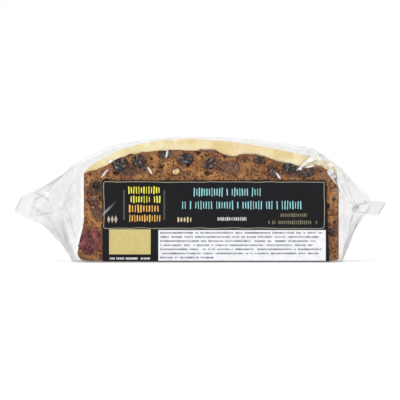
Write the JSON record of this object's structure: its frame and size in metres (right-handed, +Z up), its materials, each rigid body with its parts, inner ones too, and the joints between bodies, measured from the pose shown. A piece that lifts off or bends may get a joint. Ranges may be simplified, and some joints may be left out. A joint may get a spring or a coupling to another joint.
{
  "type": "fruit cake",
  "caption": "Slab of dark fruit cake with a domed marzipan top, standing on its base, sealed in a clear film pack with tucked ends and a plain black label.",
  "frame": {"origin": "on the surface that the pack stands on, under the middle of the pack's length and depth", "axes": "+X along the slab, to the right as the label is read; -Y out of the cut front face and the label; +Z up through the marzipan"},
  "size_m": [0.2226, 0.046, 0.0753],
  "materials": {
    "crumb": "matte baked crumb",
    "marzipan": "satin almond paste",
    "film": "thin clear glossy film",
    "label": "semi-gloss printed label",
    "cherry": "moist glace cherry",
    "date": "moist fruit flesh",
    "almond": "matte cut nut",
    "raisin": "moist wrinkled skin"
  },
  "bodies": {
    "root": {"cake": "crumb", "marzipan": "marzipan", "film": "film", "label": "label", "cherry": "cherry", "date_piece": "date", "almond_piece": "almond", "raisin_01": "raisin", "raisin_02": "raisin", "raisin_03": "raisin", "raisin_04": "raisin", "raisin_05": "raisin", "raisin_06": "raisin", "raisin_07": "raisin", "raisin_08": "raisin", "raisin_09": "raisin", "raisin_10": "raisin", "raisin_11": "raisin", "raisin_12": "raisin"}
  },
  "joints": []
}
